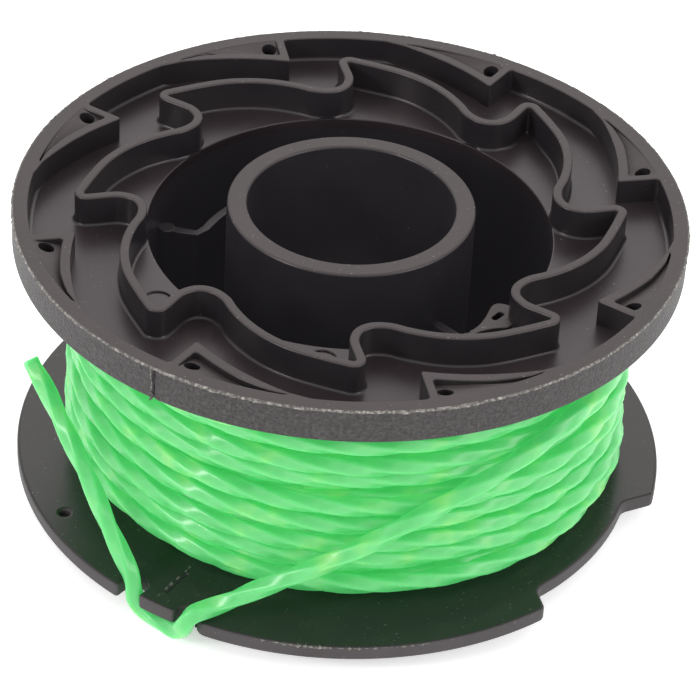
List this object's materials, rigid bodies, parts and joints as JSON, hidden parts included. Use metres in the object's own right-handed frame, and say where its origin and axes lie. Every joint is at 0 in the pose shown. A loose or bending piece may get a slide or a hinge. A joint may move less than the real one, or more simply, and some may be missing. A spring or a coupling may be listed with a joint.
{
  "type": "trimmer line spool",
  "caption": "Moulded plastic spool of twisted trimmer line, with a ratchet-toothed rim and a wavy cam wall in its top flange for automatic line feed.",
  "frame": {"origin": "on the spool's axis, in the plane of the hub collar's lower face that the spool stands on", "axes": "+Z along the spool's axis towards the cam side; -Y towards the side that the line's loose end is held on"},
  "size_m": [0.07, 0.07, 0.0348],
  "materials": {
    "spool_plastic": "satin moulded charcoal, with a spark-eroded grain on the rim",
    "line_nylon": "translucent glossy green nylon"
  },
  "bodies": {
    "root": {"hub_collar": "spool_plastic", "lower_flange": "spool_plastic", "hub_tube": "spool_plastic", "drum": "spool_plastic", "well_rib": "spool_plastic", "line_anchor": "spool_plastic", "upper_flange": "spool_plastic", "rim": "spool_plastic", "ratchet_tooth_1": "spool_plastic", "ratchet_tooth_2": "spool_plastic", "ratchet_tooth_3": "spool_plastic", "ratchet_tooth_4": "spool_plastic", "ratchet_tooth_5": "spool_plastic", "ratchet_tooth_6": "spool_plastic", "ratchet_tooth_7": "spool_plastic", "ratchet_tooth_8": "spool_plastic", "cam_lobe_1": "spool_plastic", "cam_lobe_2": "spool_plastic", "cam_lobe_3": "spool_plastic", "cam_lobe_4": "spool_plastic", "cam_lobe_5": "spool_plastic", "cam_lobe_6": "spool_plastic", "cam_lobe_7": "spool_plastic", "cam_lobe_8": "spool_plastic", "line_winding": "line_nylon", "line_tail": "line_nylon"}
  },
  "joints": []
}
